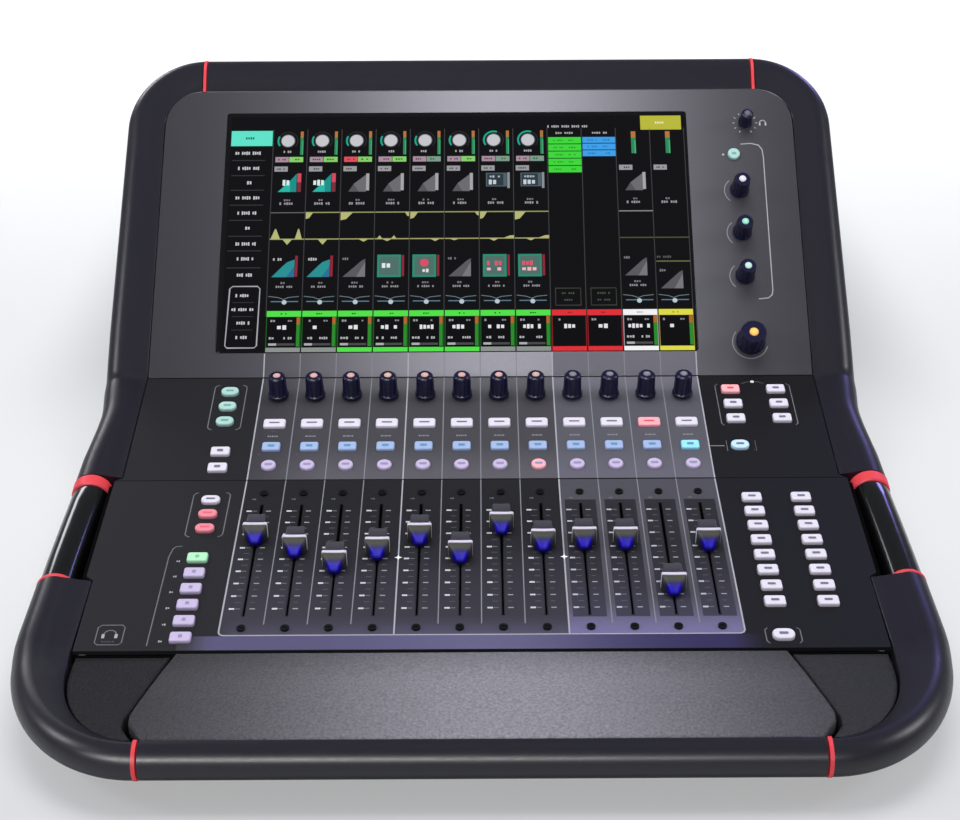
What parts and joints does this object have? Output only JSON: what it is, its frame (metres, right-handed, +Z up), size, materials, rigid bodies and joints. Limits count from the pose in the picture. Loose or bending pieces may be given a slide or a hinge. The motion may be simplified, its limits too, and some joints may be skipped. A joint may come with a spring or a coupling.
{
  "type": "mixing console",
  "caption": "Wedge-shaped desktop audio mixing console with tilted touch screen, motor faders, lit encoders and keys, padded armrest and tubular frame with side grips.",
  "frame": {"origin": "middle of the bounding box on the table plane under the feet", "axes": "+X to the user's right, +Y away from the user towards the sockets at the back, +Z up"},
  "size_m": [0.569, 0.627, 0.2684],
  "materials": {
    "pan_paint": "matt powder coat",
    "panel_grey": "satin paint",
    "panel_dark": "satin paint",
    "armrest_skin": "fine grained soft skin",
    "moulding": "satin moulding",
    "grip_gloss": "gloss",
    "accent_red": "satin",
    "screen_glass": "gloss",
    "module_black": "matt",
    "plated_steel": "plated",
    "board_green": "solder resist",
    "socket_black": "satin",
    "foot_rubber": "matt",
    "screw_black": "black zinc",
    "cap_grey": "satin, with a blue face",
    "knob_navy": "soft touch",
    "key_white": "translucent satin",
    "key_blue": "translucent satin",
    "key_lilac": "translucent satin",
    "key_mint": "translucent satin"
  },
  "bodies": {
    "chassis": {"base_pan": "pan_paint", "rear_cover": "pan_paint", "screen_panel": "panel_grey", "control_panel": "panel_dark", "fader_panel": "panel_dark", "armrest_pad": "armrest_skin", "armrest_corners": "armrest_skin", "rear_rail": "moulding", "rear_corner_mouldings": "moulding", "front_corner_mouldings": "moulding", "front_rail": "moulding", "side_handles": "grip_gloss", "accent_rings": "accent_red", "touch_glass": "screen_glass", "display_module": "module_black", "fader_units": "plated_steel", "encoder_units": "plated_steel", "circuit_boards": "board_green", "power_supply": "plated_steel", "rear_sockets": "socket_black", "feet": "foot_rubber", "panel_screws": "screw_black"},
    "fader_cap_01": {"fader_cap_01": "cap_grey"},
    "fader_cap_02": {"fader_cap_02": "cap_grey"},
    "fader_cap_03": {"fader_cap_03": "cap_grey"},
    "fader_cap_04": {"fader_cap_04": "cap_grey"},
    "fader_cap_05": {"fader_cap_05": "cap_grey"},
    "fader_cap_06": {"fader_cap_06": "cap_grey"},
    "fader_cap_07": {"fader_cap_07": "cap_grey"},
    "fader_cap_08": {"fader_cap_08": "cap_grey"},
    "fader_cap_09": {"fader_cap_09": "cap_grey"},
    "fader_cap_10": {"fader_cap_10": "cap_grey"},
    "fader_cap_11": {"fader_cap_11": "cap_grey"},
    "fader_cap_12": {"fader_cap_12": "cap_grey"},
    "channel_knob_01": {"channel_knob_01": "knob_navy"},
    "channel_knob_02": {"channel_knob_02": "knob_navy"},
    "channel_knob_03": {"channel_knob_03": "knob_navy"},
    "channel_knob_04": {"channel_knob_04": "knob_navy"},
    "channel_knob_05": {"channel_knob_05": "knob_navy"},
    "channel_knob_06": {"channel_knob_06": "knob_navy"},
    "channel_knob_07": {"channel_knob_07": "knob_navy"},
    "channel_knob_08": {"channel_knob_08": "knob_navy"},
    "channel_knob_09": {"channel_knob_09": "knob_navy"},
    "channel_knob_10": {"channel_knob_10": "knob_navy"},
    "channel_knob_11": {"channel_knob_11": "knob_navy"},
    "channel_knob_12": {"channel_knob_12": "knob_navy"},
    "phones_knob": {"phones_knob": "knob_navy"},
    "soft_knob_1": {"soft_knob_1": "knob_navy"},
    "soft_knob_2": {"soft_knob_2": "knob_navy"},
    "soft_knob_3": {"soft_knob_3": "knob_navy"},
    "main_knob": {"main_knob": "knob_navy"},
    "mute_keys": {"mute_keys": "key_white"},
    "select_keys": {"select_keys": "key_blue"},
    "pafl_keys": {"pafl_keys": "key_lilac"},
    "left_control_keys": {"left_control_keys": "key_mint"},
    "right_control_keys": {"right_control_keys": "key_white"},
    "left_fader_keys": {"left_fader_keys": "key_lilac"},
    "right_fader_keys": {"right_fader_keys": "key_white"},
    "talk_key": {"talk_key": "key_mint"},
    "power_rocker": {"power_rocker": "socket_black"}
  },
  "joints": [
    {"name": "fader_cap_01_travel", "type": "slide", "parent": "chassis", "child": "fader_cap_01", "axis": [0, 0.9921, 0.1253], "range_m": [-0.07, 0.03]},
    {"name": "fader_cap_02_travel", "type": "slide", "parent": "chassis", "child": "fader_cap_02", "axis": [0, 0.9921, 0.1253], "range_m": [-0.0568, 0.0432]},
    {"name": "fader_cap_03_travel", "type": "slide", "parent": "chassis", "child": "fader_cap_03", "axis": [0, 0.9921, 0.1253], "range_m": [-0.0406, 0.0594]},
    {"name": "fader_cap_04_travel", "type": "slide", "parent": "chassis", "child": "fader_cap_04", "axis": [0, 0.9921, 0.1253], "range_m": [-0.0542, 0.0458]},
    {"name": "fader_cap_05_travel", "type": "slide", "parent": "chassis", "child": "fader_cap_05", "axis": [0, 0.9921, 0.1253], "range_m": [-0.0687, 0.0313]},
    {"name": "fader_cap_06_travel", "type": "slide", "parent": "chassis", "child": "fader_cap_06", "axis": [0, 0.9921, 0.1253], "range_m": [-0.0502, 0.0498]},
    {"name": "fader_cap_07_travel", "type": "slide", "parent": "chassis", "child": "fader_cap_07", "axis": [0, 0.9921, 0.1253], "range_m": [-0.08, 0.02]},
    {"name": "fader_cap_08_travel", "type": "slide", "parent": "chassis", "child": "fader_cap_08", "axis": [0, 0.9921, 0.1253], "range_m": [-0.0617, 0.0383]},
    {"name": "fader_cap_09_travel", "type": "slide", "parent": "chassis", "child": "fader_cap_09", "axis": [0, 0.9921, 0.1253], "range_m": [-0.0636, 0.0364]},
    {"name": "fader_cap_10_travel", "type": "slide", "parent": "chassis", "child": "fader_cap_10", "axis": [0, 0.9921, 0.1253], "range_m": [-0.0633, 0.0367]},
    {"name": "fader_cap_11_travel", "type": "slide", "parent": "chassis", "child": "fader_cap_11", "axis": [0, 0.9921, 0.1253], "range_m": [-0.0169, 0.0831]},
    {"name": "fader_cap_12_travel", "type": "slide", "parent": "chassis", "child": "fader_cap_12", "axis": [0, 0.9921, 0.1253], "range_m": [-0.0618, 0.0382]},
    {"name": "channel_knob_01_turn", "type": "hinge", "parent": "chassis", "child": "channel_knob_01", "pos_m": [-0.1485, 0.05487, 0.07728], "axis": [0, -0.1977, 0.9803], "continuous": true},
    {"name": "channel_knob_02_turn", "type": "hinge", "parent": "chassis", "child": "channel_knob_02", "pos_m": [-0.1215, 0.05487, 0.07728], "axis": [0, -0.1977, 0.9803], "continuous": true},
    {"name": "channel_knob_03_turn", "type": "hinge", "parent": "chassis", "child": "channel_knob_03", "pos_m": [-0.0945, 0.05487, 0.07728], "axis": [0, -0.1977, 0.9803], "continuous": true},
    {"name": "channel_knob_04_turn", "type": "hinge", "parent": "chassis", "child": "channel_knob_04", "pos_m": [-0.0675, 0.05487, 0.07728], "axis": [0, -0.1977, 0.9803], "continuous": true},
    {"name": "channel_knob_05_turn", "type": "hinge", "parent": "chassis", "child": "channel_knob_05", "pos_m": [-0.0405, 0.05487, 0.07728], "axis": [0, -0.1977, 0.9803], "continuous": true},
    {"name": "channel_knob_06_turn", "type": "hinge", "parent": "chassis", "child": "channel_knob_06", "pos_m": [-0.0135, 0.05487, 0.07728], "axis": [0, -0.1977, 0.9803], "continuous": true},
    {"name": "channel_knob_07_turn", "type": "hinge", "parent": "chassis", "child": "channel_knob_07", "pos_m": [0.0135, 0.05487, 0.07728], "axis": [0, -0.1977, 0.9803], "continuous": true},
    {"name": "channel_knob_08_turn", "type": "hinge", "parent": "chassis", "child": "channel_knob_08", "pos_m": [0.0405, 0.05487, 0.07728], "axis": [0, -0.1977, 0.9803], "continuous": true},
    {"name": "channel_knob_09_turn", "type": "hinge", "parent": "chassis", "child": "channel_knob_09", "pos_m": [0.0675, 0.05487, 0.07728], "axis": [0, -0.1977, 0.9803], "continuous": true},
    {"name": "channel_knob_10_turn", "type": "hinge", "parent": "chassis", "child": "channel_knob_10", "pos_m": [0.0945, 0.05487, 0.07728], "axis": [0, -0.1977, 0.9803], "continuous": true},
    {"name": "channel_knob_11_turn", "type": "hinge", "parent": "chassis", "child": "channel_knob_11", "pos_m": [0.1215, 0.05487, 0.07728], "axis": [0, -0.1977, 0.9803], "continuous": true},
    {"name": "channel_knob_12_turn", "type": "hinge", "parent": "chassis", "child": "channel_knob_12", "pos_m": [0.1485, 0.05487, 0.07728], "axis": [0, -0.1977, 0.9803], "continuous": true},
    {"name": "phones_knob_turn", "type": "hinge", "parent": "chassis", "child": "phones_knob", "pos_m": [0.2105, 0.23549, 0.22731], "axis": [0, -0.6769, 0.7361], "range_deg": [-150, 150]},
    {"name": "soft_knob_1_turn", "type": "hinge", "parent": "chassis", "child": "soft_knob_1", "pos_m": [0.2025, 0.19132, 0.1867], "axis": [0, -0.6769, 0.7361], "continuous": true},
    {"name": "soft_knob_2_turn", "type": "hinge", "parent": "chassis", "child": "soft_knob_2", "pos_m": [0.2025, 0.16445, 0.16199], "axis": [0, -0.6769, 0.7361], "continuous": true},
    {"name": "soft_knob_3_turn", "type": "hinge", "parent": "chassis", "child": "soft_knob_3", "pos_m": [0.2025, 0.13722, 0.13695], "axis": [0, -0.6769, 0.7361], "continuous": true},
    {"name": "main_knob_turn", "type": "hinge", "parent": "chassis", "child": "main_knob", "pos_m": [0.2033, 0.0971, 0.10006], "axis": [0, -0.6769, 0.7361], "continuous": true},
    {"name": "mute_keys_press", "type": "slide", "parent": "chassis", "child": "mute_keys", "axis": [0, 0.1977, -0.9803], "range_m": [0, 0.0015]},
    {"name": "select_keys_press", "type": "slide", "parent": "chassis", "child": "select_keys", "axis": [0, 0.1977, -0.9803], "range_m": [0, 0.0015]},
    {"name": "pafl_keys_press", "type": "slide", "parent": "chassis", "child": "pafl_keys", "axis": [0, 0.1977, -0.9803], "range_m": [0, 0.0015]},
    {"name": "left_control_keys_press", "type": "slide", "parent": "chassis", "child": "left_control_keys", "axis": [0, 0.1977, -0.9803], "range_m": [0, 0.0015]},
    {"name": "right_control_keys_press", "type": "slide", "parent": "chassis", "child": "right_control_keys", "axis": [0, 0.1977, -0.9803], "range_m": [0, 0.0015]},
    {"name": "left_fader_keys_press", "type": "slide", "parent": "chassis", "child": "left_fader_keys", "axis": [0, 0.1253, -0.9921], "range_m": [0, 0.0015]},
    {"name": "right_fader_keys_press", "type": "slide", "parent": "chassis", "child": "right_fader_keys", "axis": [0, 0.1253, -0.9921], "range_m": [0, 0.0015]},
    {"name": "talk_key_press", "type": "slide", "parent": "chassis", "child": "talk_key", "axis": [0, 0.6769, -0.7361], "range_m": [0, 0.0015]},
    {"name": "power_rocker_tip", "type": "hinge", "parent": "chassis", "child": "power_rocker", "pos_m": [-0.1605, 0.3059, 0.064], "axis": [1, 0, 0], "range_deg": [-16, 0]}
  ]
}
